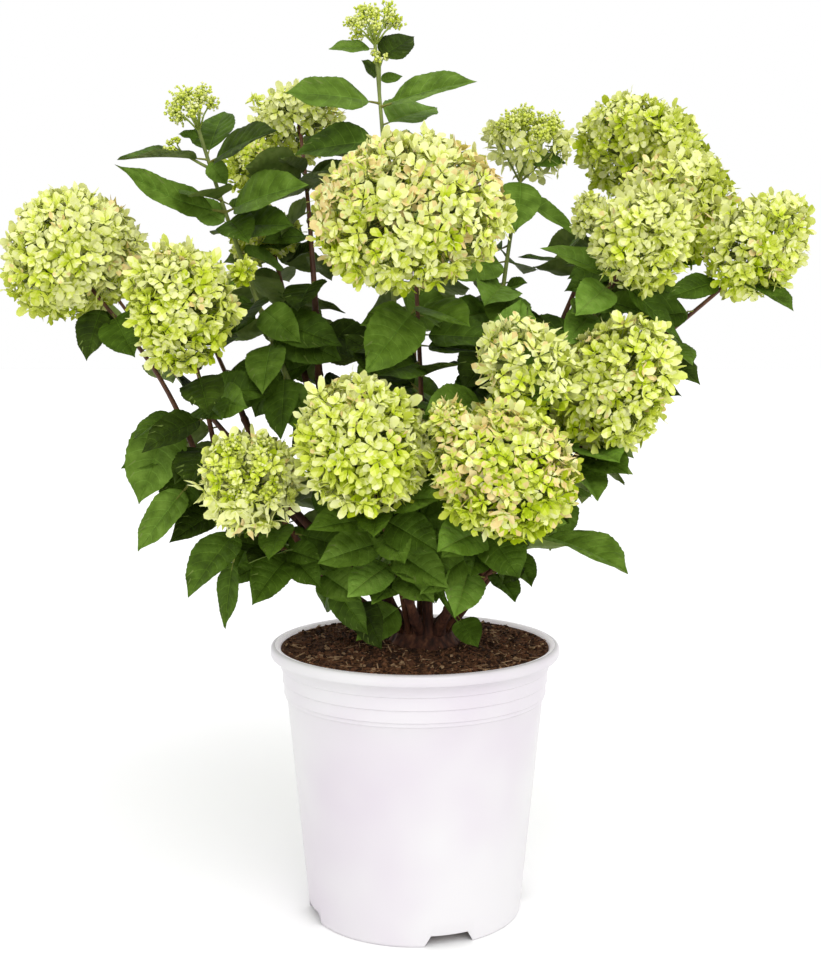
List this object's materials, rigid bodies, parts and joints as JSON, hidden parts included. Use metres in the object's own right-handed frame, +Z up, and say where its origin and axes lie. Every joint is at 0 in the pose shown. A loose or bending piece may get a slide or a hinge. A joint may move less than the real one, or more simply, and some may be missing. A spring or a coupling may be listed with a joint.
{
  "type": "potted panicle hydrangea",
  "caption": "Flowering shrub in a tapered round pot: upright canes that fork and arch out, opposite pointed leaves, and rounded lime-cream flower heads on the ends of the shoots.",
  "frame": {"origin": "the centre of the pot's flat underside, on the surface that it stands on", "axes": "+Z up, +X to the right and -Y towards the viewer, as the front of the plant shows"},
  "size_m": [0.6192, 0.4598, 0.7108],
  "materials": {
    "pot_plastic": "smooth white plastic with a soft sheen",
    "potting_mix": "dark crumbly bark and peat",
    "bark": "thin reddish-brown bark",
    "flowering_shoots": "green leaves below lime-cream florets",
    "foliage": "dark green leaves with pale veins"
  },
  "bodies": {
    "root": {"pot": "pot_plastic", "potting_mix": "potting_mix", "woody_crown": "bark", "cane_far_left": "bark", "branch_left": "bark", "branch_low_left": "bark", "cane_upper_left": "bark", "branch_back_cream": "bark", "branch_inner_left": "bark", "cane_top": "bark", "cane_centre": "bark", "cane_low_centre": "bark", "cane_low_right": "bark", "branch_open_centre": "bark", "cane_right": "bark", "cane_upper_right": "bark", "branch_right_front": "bark", "branch_right_back": "bark", "branch_young_right": "bark", "branch_far_right": "bark", "cane_back_far_left": "bark", "branch_back_left": "bark", "branch_back_low_end": "bark", "cane_back_centre": "bark", "branch_back_low_left": "bark", "cane_back_right": "bark", "branch_back_low_right": "bark", "branch_back_upper_right": "bark", "shoot_far_left": "flowering_shoots", "shoot_left": "flowering_shoots", "shoot_low_left": "flowering_shoots", "shoot_upper_left": "flowering_shoots", "shoot_back_cream": "flowering_shoots", "shoot_inner_left": "flowering_shoots", "shoot_top": "flowering_shoots", "shoot_centre": "flowering_shoots", "shoot_low_centre": "flowering_shoots", "shoot_low_right": "flowering_shoots", "shoot_open_centre": "flowering_shoots", "shoot_right": "flowering_shoots", "shoot_upper_right": "flowering_shoots", "shoot_right_front": "flowering_shoots", "shoot_right_back": "flowering_shoots", "shoot_young_right": "flowering_shoots", "shoot_far_right": "flowering_shoots", "shoot_back_far_left": "flowering_shoots", "shoot_back_left": "flowering_shoots", "shoot_back_low_end": "flowering_shoots", "shoot_back_centre": "flowering_shoots", "shoot_back_low_left": "flowering_shoots", "shoot_back_right": "flowering_shoots", "shoot_back_low_right": "flowering_shoots", "shoot_back_upper_right": "flowering_shoots", "shoot_low_leaves_left": "foliage", "shoot_low_leaves_front": "foliage", "shoot_low_leaves_right": "foliage", "shoot_low_leaves_back_left": "foliage", "shoot_low_leaves_back_right": "foliage"}
  },
  "joints": []
}
